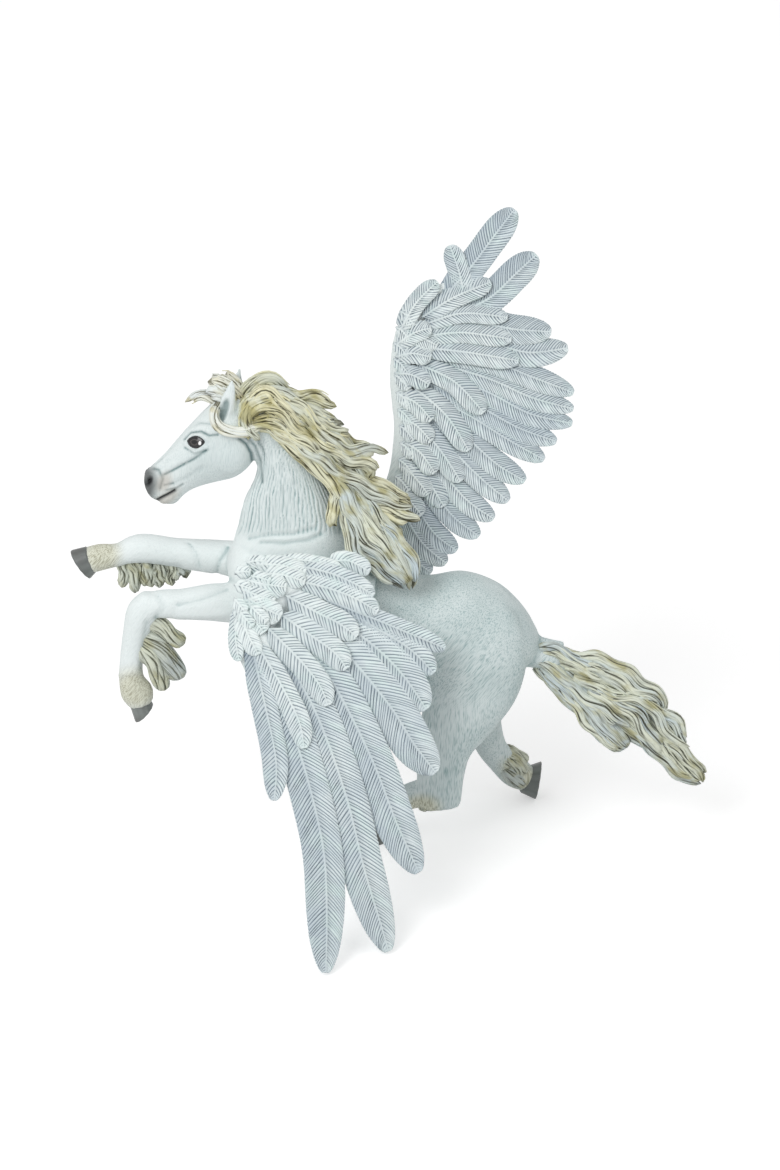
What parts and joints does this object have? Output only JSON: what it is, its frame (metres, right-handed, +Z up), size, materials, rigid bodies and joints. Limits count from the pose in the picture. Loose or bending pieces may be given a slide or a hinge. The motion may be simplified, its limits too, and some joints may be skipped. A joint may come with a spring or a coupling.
{
  "type": "winged horse figurine",
  "caption": "One-piece moulded figurine of a leaping winged horse, one wing raised and one lowered, resting on its hind hooves and feather tips.",
  "frame": {"origin": "on the floor, under the middle of the figurine's overall box", "axes": "+Z up, -X towards the head and +X towards the tail, -Y towards the lowered left wing and +Y towards the raised right wing"},
  "size_m": [0.1602, 0.1212, 0.155],
  "materials": {
    "coat": "matte",
    "plume": "matte",
    "hair": "matte",
    "hoof": "matte",
    "eye": "gloss"
  },
  "bodies": {
    "root": {"pegasus_figurine": "coat"}
  },
  "joints": []
}
